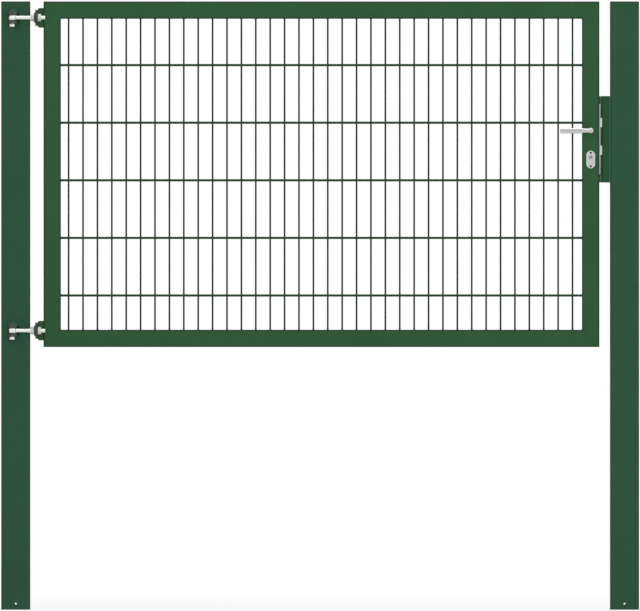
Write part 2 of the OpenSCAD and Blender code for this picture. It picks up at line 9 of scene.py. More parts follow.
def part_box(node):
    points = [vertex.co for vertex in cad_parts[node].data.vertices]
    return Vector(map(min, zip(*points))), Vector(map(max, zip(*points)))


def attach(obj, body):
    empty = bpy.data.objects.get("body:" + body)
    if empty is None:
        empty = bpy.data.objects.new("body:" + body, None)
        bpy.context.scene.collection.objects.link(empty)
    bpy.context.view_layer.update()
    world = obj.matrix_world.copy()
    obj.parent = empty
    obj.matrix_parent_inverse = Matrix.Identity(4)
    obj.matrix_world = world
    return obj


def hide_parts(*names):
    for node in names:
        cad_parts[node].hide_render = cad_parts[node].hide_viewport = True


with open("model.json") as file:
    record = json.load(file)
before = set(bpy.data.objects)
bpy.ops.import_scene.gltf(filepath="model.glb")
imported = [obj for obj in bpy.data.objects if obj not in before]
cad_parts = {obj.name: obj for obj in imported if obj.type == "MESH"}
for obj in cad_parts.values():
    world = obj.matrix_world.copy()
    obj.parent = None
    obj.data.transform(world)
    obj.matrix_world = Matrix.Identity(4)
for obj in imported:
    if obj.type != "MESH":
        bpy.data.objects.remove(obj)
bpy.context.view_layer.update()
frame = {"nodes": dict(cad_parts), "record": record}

MM = 0.001
LEVELS = ("upper", "lower")
SIDES = (("front", -1), ("back", 1))    # and their direction along Y


def corners(node):
    """Lowest and highest corner of a CAD node, in millimetres."""
    lo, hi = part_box(node)
    return [c / MM for c in lo], [c / MM for c in hi]


def middle(node, axis):
    """Middle of a CAD node along an axis, 0 to 2, in millimetres."""
    lo, hi = corners(node)
    return (lo[axis] + hi[axis]) / 2


# ---------------------------------------------------------------- places in the CAD, in mm

stile_lo, stile_hi = corners("hinge_stile")
lock_lo, lock_hi = corners("lock_stile")
rail_lo, rail_hi = corners("bottom_rail")
top_lo, top_hi = corners("top_rail")
strike_lo, strike_hi = corners("strike_box")
plate_lo, plate_hi = corners("lock_faceplate")
LEAF_Y = (stile_lo[1] + stile_hi[1]) / 2
FRAME_W = 60.0
SPINDLE_X, SPINDLE_Z = middle("lever_spindle", 0), middle("lever_spindle", 2)
HINGES = {level: (middle(level + "_hinge_bolt", 0), middle(level + "_hinge_bolt", 1),
                  middle(level + "_eyebolt", 2)) for level in LEVELS}


# ---------------------------------------------------------------- sizes of the mat, in mm

UPRIGHT_D, CROSS_D = 6.0, 8.0
UPRIGHT_PITCH, CROSS_PITCH = 50.0, 200.0
UPRIGHT_START, CROSS_START = 27.0, 119.0    # from the frame to the first wire
LEAST_GAP = 1 / 3                           # of a pitch, from the last wire to the frame
WELD_DEPTH = 0.4                            # how deep the wires sit in each other


# ---------------------------------------------------------------- node trees

NOISE_MIDDLE = (0.3, 0.7)    # most of a noise lies between these


class Tree:
    """The node tree of a material or world, with short ways to add to it."""

    def __init__(self, owner):
        owner.use_nodes = True
        self.nodes, self.links = owner.node_tree.nodes, owner.node_tree.links

    def put(self, node, key, value):
        """Links an output to an input, or sets the input to a plain value."""
        if isinstance(value, bpy.types.NodeSocket):
            self.links.new(value, node.inputs[key])
        else:
            node.inputs[key].default_value = value

    def add(self, kind, settings=None, **inputs):
        """A new node; an underscore in the name of an input stands for a space."""
        node = self.nodes.new("ShaderNode" + kind)
        for key, value in (settings or {}).items():
            setattr(node, key, value)
        for key, value in inputs.items():
            self.put(node, key.replace("_", " "), value)
        return node

    def math(self, operation, *values):
        node = self.add("Math", {"operation": operation})
        for place, value in enumerate(values):
            self.put(node, place, value)
        return node.outputs[0]

    def coords(self, kind="Object"):
        """The surface's texture coordinates of a kind."""
        return self.add("TexCoord").outputs[kind]

    def along(self, vector, axis):
        """One coordinate of a vector."""
        return self.add("SeparateXYZ", Vector=vector).outputs[axis]

    def noise(self, coords, scale, detail, stretch=None):
        if stretch:
            coords = self.add("Mapping", Vector=coords, Scale=stretch).outputs["Vector"]
        return self.add("TexNoise", Vector=coords, Scale=scale, Detail=detail).outputs["Fac"]

    def map_range(self, value, start, end, low=0.0, high=1.0):
        """low where a number is at start, high where it is at end, and even between them."""
        return self.add("MapRange", Value=value, From_Min=start, From_Max=end,
                        To_Min=low, To_Max=high).outputs["Result"]

    def spread(self, value, low, high):
        """Maps the middle of a noise to a range of a number."""
        return self.map_range(value, *NOISE_MIDDLE, low, high)

    def vary(self, value, centre, by):
        """Maps the middle of a noise to a number that varies round a centre."""
        return self.spread(value, centre - by, centre + by)

    def tint(self, value, dark, light):
        """Maps the middle of a noise to colours between two."""
        ramp = self.add("ValToRGB", Fac=value)
        for k, colour in enumerate((dark, light)):
            ramp.color_ramp.elements[k].position = NOISE_MIDDLE[k]
            ramp.color_ramp.elements[k].color = (*colour, 1)
        return ramp.outputs["Color"]

    def blend(self, share, first, second):
        """Colour first where share is 0, and the constant colour second where it is 1."""
        return self.add("Mix", {"data_type": "RGBA"}, Factor=share, A=first,
                        B=(*second, 1)).outputs["Result"]

    def off_size(self, value, centre):
        """How far a number is from a centre."""
        return self.math("ABSOLUTE", self.math("SUBTRACT", value, centre))


# Each of these gives a share between 0 and 1 over the surface, for a second colour

CORNER_TURN, SIDE_TURN = (0.995, 0.92), (0.9, 0.5)    # part of the normal, at a share of 0 and 1
PROUD_FADE = 0.0004
SPOT_EDGE, SPOT_RAGGED, SPOT_IN, SPOT_OUT = (260, 2), 0.0012, 0.0020, 0.0022


def corner_share(tree):
    """1 where the surface turns away from the object's three axes, as at a tube's corners."""
    normal = tree.coords("Normal")
    x, y, z = (tree.math("ABSOLUTE", tree.along(normal, axis)) for axis in "XYZ")
    largest = tree.math("MAXIMUM", tree.math("MAXIMUM", x, y), z)
    return tree.map_range(largest, *CORNER_TURN)


def rim_share(tree, coords, axis, tube):
    """1 on a tube's front and back beside its two long edges, where a line of painted shade goes;
    axis is the one across the tube.
    """
    lo, hi = (corner["XYZ".index(axis)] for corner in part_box(tube))
    half = (hi - lo) / 2
    off = tree.off_size(tree.along(coords, axis), (lo + hi) / 2)
    beside = tree.map_range(off, half - RIM_FADE, half - RIM_WIDTH)
    turned = tree.math("ABSOLUTE", tree.along(tree.coords("Normal"), axis))
    return tree.math("MULTIPLY", beside, tree.map_range(turned, *SIDE_TURN))


def proud_share(tree, coords, depth, off):
    """1 where the surface lies further than off in front of or behind a depth."""
    return tree.map_range(tree.off_size(tree.along(coords, "Y"), depth), off, off + PROUD_FADE)


def spot_share(tree, coords, spots, radius):
    """1 near any of the points spots, with a ragged and soft edge at a radius from them."""
    share = None
    ragged = tree.vary(tree.noise(coords, *SPOT_EDGE), 0.0, SPOT_RAGGED)
    for spot in spots:
        away = tree.add("VectorMath", {"operation": "DISTANCE"})
        tree.put(away, 0, coords)
        tree.put(away, 1, spot)
        reach = tree.math("ADD", away.outputs["Value"], ragged)
        near = tree.map_range(reach, radius + SPOT_OUT, radius - SPOT_IN)
        share = near if share is None else tree.math("MAXIMUM", share, near)
    return share


# ---------------------------------------------------------------- materials

# The corner colours are painted shade on the tubes' rounded corners, darker where the surface
# turns away
LEAF_GREEN, LEAF_CORNER_SHADE = (0.0184, 0.0706, 0.0255), (0.0130, 0.0360, 0.0165)
POST_GREEN, POST_CORNER_SHADE = (0.0162, 0.0617, 0.0291), (0.0140, 0.0520, 0.0240)
# The cross wires' lighter copy of the mat's green is painted light where they stand in front; the
# uprights' darker green is painted shade
MAT_GREEN, CROSS_LIT_GREEN = (0.0075, 0.0280, 0.0100), (0.0215, 0.0530, 0.0250)
# A line of painted shade beside the frame tubes' long edges, with its width and its fade
PAINTED_RIM_SHADE, RIM_WIDTH, RIM_FADE = (0.0160, 0.0500, 0.0205), 0.0055, 0.0075
# The grey that the leaf brackets turn towards their washers, and the length of the change
BRACKET_GREY, BRACKET_GREY_FADE = (0.0400, 0.0500, 0.0420), 0.014
# Painted shade inside the key plug behind its front face, and how fast it sets in
KEYWAY_PAINTED_SHADE, DARK_FADE = (0.01, 0.01, 0.01), 0.0003
# Painted shade on the post beside each hinge, and the radius of each patch
PAINTED_HINGE_SHADE, PAINTED_HINGE_SHADE_R = (0.0026, 0.0072, 0.0042), 0.0051
PAINTED_HINGE_SHADE_BESIDE, PAINTED_HINGE_SHADE_ABOVE = 0.0172, 0.0115    # where a patch of painted shade sits, from the middle of a hinge
TUBE_EDGE, SMALL_EDGE, BEVEL_SAMPLES = 0.0008, 0.0004, 6

# The scale and detail of each kind's patches and of its gloss, and how much both vary
COAT_PATCHES, COAT_GLOSS, COAT_SHADE, COAT_VARY = (9, 3), (40, 4), 0.06, 0.06
PLASTIC_PATCHES, PLASTIC_GLOSS, PLASTIC_SHADE, PLASTIC_VARY = (30, 3), (90, 3), 0.08, 0.07
METAL_PATCHES, METAL_DETAIL, METAL_SHADE, METAL_VARY = (60, 4), 3, 0.05, 0.08
ORANGE_PEEL, COAT_GRAIN = (420, 1, 0.00008), (2600, 2, 0.00001)    # scale, detail, depth in metres
PLASTIC_DETAIL, METAL_DEPTH = 2, 0.00001


def new_material(name):
    mat = bpy.data.materials.new(name)
    tree = Tree(mat)
    return mat, tree, tree.nodes["Principled BSDF"], tree.coords()


def shades(colour, amount):
    """A darker and a lighter shade of a colour."""
    return [c * (1 - amount) for c in colour], [c * (1 + amount) for c in colour]


def add_bump(tree, shader, heights, edge):
    """heights: (noise output, depth in metres), made into one normal; edge rounds sharp edges."""
    normal = None
    if edge:
        normal = tree.add("Bevel", {"samples": BEVEL_SAMPLES}, Radius=edge).outputs["Normal"]
    for height, depth in heights:
        bump = tree.add("Bump", Strength=1.0, Distance=depth, Height=height)
        if normal is not None:
            tree.put(bump, "Normal", normal)
        normal = bump.outputs["Normal"]
    tree.put(shader, "Normal", normal)


def powder_coat(name, colour, rough=0.5, spec=0.2, edge=0.0, corner=None, grey_up_to=None,
                rim=None, proud=None, shade_points=None):
    """Satin powder coat: a fine orange-peel skin with slow changes of shade and gloss.

    corner is the colour on rounded corners, a painted shade there. Up to the place grey_up_to
    along X the coat turns grey. rim is the axis across a tube and its node, and gives the tube a
    line of painted shade beside its long edges. proud is a depth, a distance from it and the
    colour of what stands out further than that, a painted light. The last argument lists the
    points round which the coat carries patches of painted shade.
    """
    mat, tree, shader, coords = new_material(name)
    colours = tree.tint(tree.noise(coords, *COAT_PATCHES), *shades(colour, COAT_SHADE))
    layers = []
    if rim:
        layers.append((rim_share(tree, coords, *rim), PAINTED_RIM_SHADE))
    if proud:
        layers.append((proud_share(tree, coords, *proud[:2]), proud[2]))
    if corner:
        layers.append((corner_share(tree), corner))
    if grey_up_to is not None:
        across = tree.along(coords, "X")
        layers.append((tree.map_range(across, grey_up_to + BRACKET_GREY_FADE, grey_up_to), BRACKET_GREY))
    if shade_points:
        layers.append((spot_share(tree, coords, shade_points, PAINTED_HINGE_SHADE_R), PAINTED_HINGE_SHADE))
    for share, layer in layers:
        colours = tree.blend(share, colours, layer)
    tree.put(shader, "Base Color", colours)
    tree.put(shader, "Roughness", tree.vary(tree.noise(coords, *COAT_GLOSS), rough, COAT_VARY))
    tree.put(shader, "Specular IOR Level", spec)
    add_bump(tree, shader, [(tree.noise(coords, scale, detail), depth)
                            for scale, detail, depth in (ORANGE_PEEL, COAT_GRAIN)], edge)
    return mat


def plastic(name, colour, rough=0.6, spec=0.35, grain=1500, depth=0.00003):
    """Moulded plastic or rubber with a fine spark-eroded grain and slight changes of shade."""
    mat, tree, shader, coords = new_material(name)
    patches, gloss = tree.noise(coords, *PLASTIC_PATCHES), tree.noise(coords, *PLASTIC_GLOSS)
    tree.put(shader, "Base Color", tree.tint(patches, *shades(colour, PLASTIC_SHADE)))
    tree.put(shader, "Roughness", tree.vary(gloss, rough, PLASTIC_VARY))
    tree.put(shader, "Specular IOR Level", spec)
    add_bump(tree, shader, [(tree.noise(coords, grain, PLASTIC_DETAIL), depth)], SMALL_EDGE)
    return mat


def metal(name, colour, rough=0.3, stretch=None, grain=900, second=None, dark_behind=None,
          corner=None):
    """Metal with a grain.

    stretch squeezes the grain so that it runs along one axis, second is the colour of its fainter
    patches, corner that of its rounded edges, a painted highlight there, and behind the depth
    dark_behind it is dark with painted shade, as in a keyway.
    """
    mat, tree, shader, coords = new_material(name)
    dark, light = shades(colour, METAL_SHADE)
    colours = tree.tint(tree.noise(coords, *METAL_PATCHES), second or dark, light)
    if corner:
        colours = tree.blend(corner_share(tree), colours, corner)
    if dark_behind is not None:
        inside = tree.map_range(tree.along(coords, "Y"), dark_behind, dark_behind + DARK_FADE)
        colours = tree.blend(inside, colours, KEYWAY_PAINTED_SHADE)
    fine = tree.noise(coords, grain, METAL_DETAIL, stretch)
    tree.put(shader, "Base Color", colours)
    tree.put(shader, "Metallic", 1.0)
    tree.put(shader, "Roughness", tree.vary(fine, rough, METAL_VARY))
    add_bump(tree, shader, [(fine, METAL_DEPTH)], SMALL_EDGE)
    return mat


post_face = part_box("hinge_post")[0][1]
# Points beside the hinges, where the eyebolt shanks meet the ears, round which the post's coat
# carries painted shade
hinge_shade_points = [(px * MM + PAINTED_HINGE_SHADE_BESIDE, post_face, pz * MM + up * PAINTED_HINGE_SHADE_ABOVE)
           for px, py, pz in HINGES.values() for up in (-1, 1)]
bracket_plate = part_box("upper_leaf_side_washer")[0][0]
# The key plug carries painted shade behind this depth
KEYWAY_STEP = 0.0004
keyway_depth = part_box("key_plug")[0][1] + KEYWAY_STEP

FINISHES = {
    "post_coating": (powder_coat, POST_GREEN,
                     {"edge": TUBE_EDGE, "corner": POST_CORNER_SHADE, "shade_points": hinge_shade_points}),
    "clevis_coating": (powder_coat, (0.0520, 0.0800, 0.0580), {"rough": 0.45, "edge": TUBE_EDGE}),
    "strike_coating": (powder_coat, (0.0120, 0.0530, 0.0170), {"edge": TUBE_EDGE}),
    # The stop bar's coat is much lighter than the strike's: painted light, for light that reaches
    # it through the narrow gap
    "stop_coating": (powder_coat, (0.1200, 0.1900, 0.1330), {"edge": TUBE_EDGE}),
    # The strike's weld beads are lighter than the strike: a painted highlight along its joint with
    # the post
    "strike_weld_coating": (powder_coat, (0.0560, 0.1300, 0.0720), {}),
    "leaf_coating": (powder_coat, LEAF_GREEN, {"edge": TUBE_EDGE, "corner": LEAF_CORNER_SHADE}),
    "bracket_coating": (powder_coat, LEAF_GREEN, {"edge": TUBE_EDGE, "grey_up_to": bracket_plate}),
    # The cross wires stand proud of the uprights and take the lighter green, a painted light
    "mat_coating": (powder_coat, MAT_GREEN,
                    {"rough": 0.6, "spec": 0.0,
                     "proud": (LEAF_Y * MM, UPRIGHT_D / 2 * MM, CROSS_LIT_GREEN)}),
    "cap_plastic": (plastic, (0.0190, 0.0400, 0.0240), {"spec": 0.2}),
    "washer_plastic": (plastic, (0.0540, 0.0760, 0.0580), {"spec": 0.25}),
    "buffer_rubber": (plastic, (0.0120, 0.0160, 0.0120),
                      {"rough": 0.8, "spec": 0.15, "grain": 700, "depth": 0.00005}),
    "zinc_plating": (metal, (0.84, 0.87, 0.85), {"grain": 500, "second": (0.74, 0.76, 0.72)}),
    "zinc_dull": (metal, (0.64, 0.70, 0.65),
                  {"rough": 0.36, "grain": 500, "second": (0.54, 0.58, 0.53)}),
    # The lever's lighter rounded edges are a painted highlight
    "lever_aluminium": (metal, (0.50, 0.50, 0.51),
                        {"stretch": (0.04, 1, 1), "corner": (0.72, 0.72, 0.73)}),
    "bush_steel": (metal, (0.17, 0.19, 0.17), {"rough": 0.40}),
    "lock_steel": (metal, (0.50, 0.56, 0.51), {"rough": 0.36, "stretch": (1, 1, 0.04)}),
    "cover_steel": (metal, (0.58, 0.63, 0.58), {"rough": 0.36, "stretch": (1, 1, 0.04)}),
    "cylinder_nickel": (metal, (0.62, 0.60, 0.61), {"rough": 0.32}),
    "plug_nickel": (metal, (0.36, 0.35, 0.35), {"rough": 0.35, "dark_behind": keyway_depth}),
    "bolt_steel": (metal, (0.66, 0.72, 0.66), {"rough": 0.32, "stretch": (0.05, 1, 1)}),
    "screw_black": (metal, (0.035, 0.035, 0.035), {"rough": 0.45}),
    "screw_steel": (metal, (0.45, 0.46, 0.46), {}),
}

# Nodes with a finish of their own
OWN_FINISH = {"key_plug": "plug_nickel", "stop_bar": "stop_coating"}
for tube, across in (("hinge_stile", "X"), ("lock_stile", "X"),
                     ("top_rail", "Z"), ("bottom_rail", "Z")):
    OWN_FINISH[tube] = tube + "_coating"
    FINISHES[tube + "_coating"] = (powder_coat, LEAF_GREEN,
                                   {"corner": LEAF_CORNER_SHADE, "rim": (across, tube)})
for level in LEVELS:
    OWN_FINISH[level + "_leaf_bracket"] = "bracket_coating"
    OWN_FINISH[level + "_post_side_nut"] = "zinc_dull"
    OWN_FINISH[level + "_leaf_side_nut"] = "zinc_dull"

materials = {name: make(name, colour, **looks) for name, (make, colour, looks) in FINISHES.items()}
for part in frame["record"]["subparts"]:
    finish = OWN_FINISH.get(part["node"], part["material_slot"])
    for slot in frame["nodes"][part["node"]].material_slots:
        slot.material = materials[finish]


# ---------------------------------------------------------------- mesh building

class Builder:
    """Collects vertices and faces, in millimetres, and makes one object of them."""

    def __init__(self):
        self.verts, self.faces, self.smooth = [], [], []

    def add(self, verts, faces, smooth=True):
        start = len(self.verts)
        self.verts += [Vector(v) for v in verts]
        self.faces += [tuple(start + i for i in f) for f in faces]
        self.smooth += [smooth] * len(faces)

    def make(self, name, body, slot):
        mesh = bpy.data.meshes.new(name)
        mesh.from_pydata([v * MM for v in self.verts], [], self.faces)
        mesh.validate()
        for face, smooth in zip(mesh.polygons, self.smooth):
            face.use_smooth = smooth
        mesh.materials.append(materials[slot])
        mesh.update()
        obj = bpy.data.objects.new(name, mesh)
        bpy.context.scene.collection.objects.link(obj)
        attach(obj, body)
        return obj


def ring(centre, u, v, r, count):
    """count points round a centre, in the plane of the unit vectors u and v."""
    out = []
    for k in range(count):
        a = 2 * math.pi * k / count
        out.append(Vector(centre) + Vector(u) * (r * math.cos(a)) + Vector(v) * (r * math.sin(a)))
    return out


def skin(rows, count):
    """Faces that join rows of count points each, given as one list of points."""
    faces = []
    for j in range(rows - 1):
        for k in range(count):
            a, b = j * count + k, j * count + (k + 1) % count
            faces.append((a, b, b + count, a + count))
    return faces


def lathe(builder, rings, closed_ends=True):
    """Joins rings of the same count into a skin, and closes its two ends."""
    count = len(rings[0])
    builder.add([p for r in rings for p in r], skin(len(rings), count))
    if closed_ends:
        builder.add(rings[0], [tuple(reversed(range(count)))], False)
        builder.add(rings[-1], [tuple(range(count))], False)


NEARLY_UPRIGHT = 0.1


def frame_axes(axis):
    """Two unit vectors across an axis, so that u, v and axis are right-handed."""
    axis = Vector(axis).normalized()
    u = Vector((0, 0, 1)).cross(axis)
    if u.length < NEARLY_UPRIGHT:
        u = Vector((1, 0, 0))
    u.normalize()
    return u, axis.cross(u)


def rod(builder, start, end, profile, count=16):
    """A turned rod along start to end; profile lists (distance from the start, radius)."""
    axis = (Vector(end) - Vector(start)).normalized()
    u, v = frame_axes(axis)
    lathe(builder, [ring(Vector(start) + axis * d, u, v, r, count) for d, r in profile])


def blob(builder, centre, radii, count, rows):
    """An ellipsoid along the world's axes."""
    verts = []
    for j in range(rows + 1):
        lat = math.pi * j / rows - math.pi / 2
        for k in range(count):
            lon = 2 * math.pi * k / count
            verts.append((centre[0] + radii[0] * math.cos(lat) * math.cos(lon),
                          centre[1] + radii[1] * math.cos(lat) * math.sin(lon),
                          centre[2] + radii[2] * math.sin(lat)))
    builder.add(verts, skin(rows + 1, count))


BEAD_COUNT, BEAD_END, LEAST_RIPPLE = 8, 0.5, 0.4


def bead(builder, path, r, seed, closed=False, ripple=0.12, pitch=2.2):
    """A weld bead along a path of points: a tube whose thickness ripples."""
    rng = random.Random(seed)
    points = [Vector(p) for p in path]
    if closed:
        points.append(points[0])
    fine = [points[0]]
    for a, b in zip(points, points[1:]):
        steps = max(1, round((b - a).length / pitch))
        fine += [a.lerp(b, (k + 1) / steps) for k in range(steps)]
    rings = []
    for i, p in enumerate(fine):
        before, after = fine[max(i - 1, 0)], fine[min(i + 1, len(fine) - 1)]
        u, v = frame_axes(after - before)
        size = r * (1 + ripple * (1 if i % 2 else -1) * rng.uniform(LEAST_RIPPLE, 1.0))
        if not closed and i in (0, len(fine) - 1):
            size *= BEAD_END
        rings.append(ring(p, u, v, size, BEAD_COUNT))
    lathe(builder, rings)


RIDGE_HALF, RIDGE_FOOT = 0.42, -0.15    # part of the pitch, and millimetres below the rod's radius


def thread(builder, start, end, r, pitch, depth, per_turn=16):
    """A helical ridge of depth above radius r, round the line from start to end."""
    start, end = Vector(start), Vector(end)
    axis = (end - start).normalized()
    u, v = frame_axes(axis)
    length = (end - start).length
    steps = int(length / pitch * per_turn)
    half = RIDGE_HALF * pitch
    shape = [(-half, RIDGE_FOOT), (0.0, depth), (half, RIDGE_FOOT)]
    verts = []
    for k in range(steps + 1):
        a = 2 * math.pi * k / per_turn
        out = u * math.cos(a) + v * math.sin(a)
        base = start + axis * (length * k / steps)
        fade = min(1.0, k / per_turn, (steps - k) / per_turn)
        verts += [base + axis * s + out * (r + (h * fade if h > 0 else h)) for s, h in shape]
    ends = [(2, 1, 0), tuple(len(verts) - 3 + i for i in range(3))]
    builder.add(verts, skin(steps + 1, 3) + ends, False)


# ---------------------------------------------------------------- the mat

MAT_X, MAT_Z = (stile_hi[0], lock_lo[0]), (rail_hi[2], top_lo[2])
CROSS_YS = [LEAF_Y + side * (UPRIGHT_D / 2 + CROSS_D / 2 - WELD_DEPTH) for side in (-1, 1)]
SPOT_YS = [LEAF_Y + side * (UPRIGHT_D / 2 - WELD_DEPTH / 2) for side in (-1, 1)]
SPOT_WELD, SPOT_COUNT, SPOT_ROWS = (3.0, 1.1, 2.9), 8, 4
END_WELD = ((0, 5.0), (0.8, 4.6), (1.7, 3.4), (2.7, 2.6))    # distance and radius, for an upright
END_WELD_COUNT, END_WELD_IN, END_WELD_OUT, CROSS_WIDER = 12, 0.3, 2.4, 0.6
INTO_FRAME = 1


def repeated(start, limit, pitch):
    """start, start + pitch and so on, up to limit."""
    places = []
    while start <= limit:
        places.append(start)
        start += pitch
    return places


def wire(builder, start, end, d):
    """A plain round wire of diameter d."""
    rod(builder, start, end, [(0, d / 2), ((Vector(end) - Vector(start)).length, d / 2)])


def end_weld(builder, place, way, wider):
    """The weld where a wire meets the frame at place and goes on in the direction way."""
    place, way = Vector(place), Vector(way)
    rod(builder, place - way * END_WELD_IN, place + way * END_WELD_OUT,
        [(d, r + wider) for d, r in END_WELD], END_WELD_COUNT)


upright_xs = repeated(MAT_X[0] + UPRIGHT_START, MAT_X[1] - LEAST_GAP * UPRIGHT_PITCH,
                      UPRIGHT_PITCH)
cross_zs = repeated(MAT_Z[0] + CROSS_START, MAT_Z[1] - LEAST_GAP * CROSS_PITCH, CROSS_PITCH)

mat = Builder()
for x in upright_xs:
    wire(mat, (x, LEAF_Y, MAT_Z[0] - INTO_FRAME), (x, LEAF_Y, MAT_Z[1] + INTO_FRAME), UPRIGHT_D)
for z in cross_zs:
    for y, spot_y in zip(CROSS_YS, SPOT_YS):
        wire(mat, (MAT_X[0] - INTO_FRAME, y, z), (MAT_X[1] + INTO_FRAME, y, z), CROSS_D)
        for x in upright_xs:
            blob(mat, (x, spot_y, z), SPOT_WELD, SPOT_COUNT, SPOT_ROWS)
mat_obj = mat.make("wire_mat_round", "leaf", "mat_coating")
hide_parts("wire_mat")

mat_welds = Builder()
for x in upright_xs:
    for z, way in zip(MAT_Z, (1, -1)):
        end_weld(mat_welds, (x, LEAF_Y, z), (0, 0, way), 0)
for z in cross_zs:
    for y in CROSS_YS:
        for x, way in zip(MAT_X, (1, -1)):
            end_weld(mat_welds, (x, y, z), (way, 0, 0), CROSS_WIDER)
mat_welds.make("wire_end_welds", "leaf", "mat_coating")


# ---------------------------------------------------------------- threads and collars

EYEBOLT_R = 7.0
THREAD_START, THREAD_END = 20.0, 1.2    # before the post-side nut, and short of the eyebolt's end
THREAD_PITCH, THREAD_DEPTH = 2.0, 0.35
BOLT_HEAD_H, COLLAR_H, INTO_HEAD, COLLAR_COUNT = 9.0, 1.1, 0.05, 48
COLLAR = ((0, 9.0), (0.75, 9.0), (1.15, 8.4))

leaf_threads = Builder()
for level, (px, py, pz) in HINGES.items():
    eye_end, nut_start = corners(level + "_eyebolt")[1][0], corners(level + "_post_side_nut")[0][0]
    thread(leaf_threads, (nut_start - THREAD_START, py, pz), (eye_end - THREAD_END, py, pz),
           EYEBOLT_R, THREAD_PITCH, THREAD_DEPTH)
leaf_threads.make("eyebolt_threads", "leaf", "zinc_plating")

collars = Builder()
for level, (px, py, pz) in HINGES.items():
    head_top = corners(level + "_hinge_bolt")[0][2] + BOLT_HEAD_H
    rod(collars, (px, py, head_top - INTO_HEAD), (px, py, head_top + COLLAR_H),
        COLLAR, COLLAR_COUNT)
collars.make("hinge_bolt_collars", "posts", "zinc_plating")


# ---------------------------------------------------------------- screws

NOT_ZERO = 1e-6
CROSS_HALF, RECESS_TAPER = 0.5, 0.8


def cross_recess(arm):
    """Radius of a cross-shaped recess by angle, with arms of a length."""
    def radius(a):
        c, s = max(abs(math.cos(a)), NOT_ZERO), max(abs(math.sin(a)), NOT_ZERO)
        return max(min(arm / c, CROSS_HALF / s), min(arm / s, CROSS_HALF / c))
    return radius


def hex_recess(flats):
    """Radius of a six-sided recess by angle, from its width across the flats."""
    def radius(a):
        return flats / 2 / math.cos((a % (math.pi / 3)) - math.pi / 6)
    return radius


def screw_head(builder, centre, axis, r, recess, depth, turn, sink=1.2, crown=0.25, count=72):
    """A screw head on a face at centre, looking along axis.

    It goes sink deep into the face and rises to crown above it. There a recess of a given
    outline, turned by turn, starts and goes depth deep.
    """
    u, v = frame_axes(axis)
    axis, centre = Vector(axis).normalized(), Vector(centre)

    def circle(height, radius):
        out = []
        for k in range(count):
            a = 2 * math.pi * k / count
            size = radius(a - turn) if callable(radius) else radius
            across = u * (size * math.cos(a)) + v * (size * math.sin(a))
            out.append(centre + axis * height + across)
        return out

    lathe(builder, [
        circle(-sink, r - sink), circle(-0.15, r - 0.05), circle(0.0, r - 0.15),
        circle(crown * 0.6, r * 0.8), circle(crown, recess),
        circle(crown - depth, lambda a: RECESS_TAPER * recess(a)),
    ])


SCREW_SPACING, RIM_HEIGHT, BELOW_FACE = 47.0, 0.6, 0.35
for side, way in SIDES:
    cover_screws = Builder()
    lo, hi = corners(side + "_lock_cover")
    face = (lo[1] if way < 0 else hi[1]) - way * RIM_HEIGHT
    for k, turn in ((-1, 0.35), (1, 1.1)):
        screw_z = (lo[2] + hi[2]) / 2 + k * SCREW_SPACING / 2
        screw_head(cover_screws, (SPINDLE_X, face - way * BELOW_FACE, screw_z), (0, way, 0),
                   r=3.7, recess=cross_recess(2.3), depth=1.1, turn=turn)
    cover_screws.make(side + "_cover_screws", "leaf", "screw_black")

PROUD_OF_PLATE, SCREW_FROM_END = 0.05, 9.0
PLATE_Y = middle("lock_faceplate", 1)
plate_screws = Builder()
for z, r, arm, depth, turn in ((plate_lo[2] + SCREW_FROM_END, 4.0, 2.4, 1.3, 0.2),
                               (plate_hi[2] - SCREW_FROM_END, 4.0, 2.4, 1.3, 0.9),
                               (middle("key_plug", 2), 3.8, 2.2, 1.2, 0.5)):
    screw_head(plate_screws, (plate_hi[0] + PROUD_OF_PLATE, PLATE_Y, z), (1, 0, 0),
               r, cross_recess(arm), depth, turn)
plate_screws.make("faceplate_screws", "leaf", "screw_steel")

GRUB_FROM_STILE, GRUB_IN = 9.0, 0.25
grub_screws = Builder()
for side, way in SIDES:
    lo, hi = corners(side + "_lever")
    boss_r = hi[0] - SPINDLE_X
    y = (hi[1] if way < 0 else lo[1]) + way * GRUB_FROM_STILE
    screw_head(grub_screws, (SPINDLE_X, y, SPINDLE_Z - boss_r + GRUB_IN), (0, 0, -1),
               r=2.6, recess=hex_recess(2.5), depth=1.0, turn=0.3)
grub_screws.make("lever_grub_screws", "handle", "screw_steel")

# How far a point of the ring's profile is out from the lever's boss, and from the stile
LEVER_RING = ((2.8, -0.2), (2.8, 1.4), (2.2, 2.0), (0.6, 2.0), (0.6, -0.2), (2.8, -0.2))
LEVER_RING_COUNT = 64
lever_rings = Builder()
for side, way in SIDES:
    boss_r = corners(side + "_lever")[1][0] - SPINDLE_X
    y = stile_lo[1] if way < 0 else stile_hi[1]
    rings = [ring((SPINDLE_X, y + way * h, SPINDLE_Z), (1, 0, 0), (0, 0, way),
                  boss_r + wider, LEVER_RING_COUNT) for wider, h in LEVER_RING]
    lathe(lever_rings, rings, closed_ends=False)
lever_rings.make("lever_rings", "leaf", "bush_steel")


# ---------------------------------------------------------------- weld beads

def stadium(centre_x, centre_z, r, half_straight, y, steps=24):
    """Points round an upright slot shape, of two half circles joined by straight sides."""
    path = []
    for start, way in ((0, 1), (math.pi, -1)):
        end_z = centre_z + way * half_straight
        for k in range(steps + 1):
            a = start + math.pi * k / steps
            path.append((centre_x + r * math.cos(a), y, end_z + r * math.sin(a)))
    return path


def straight(builder, start, end, r, seed, **looks):
    """A straight weld bead."""
    bead(builder, [start, end], r, seed, **looks)


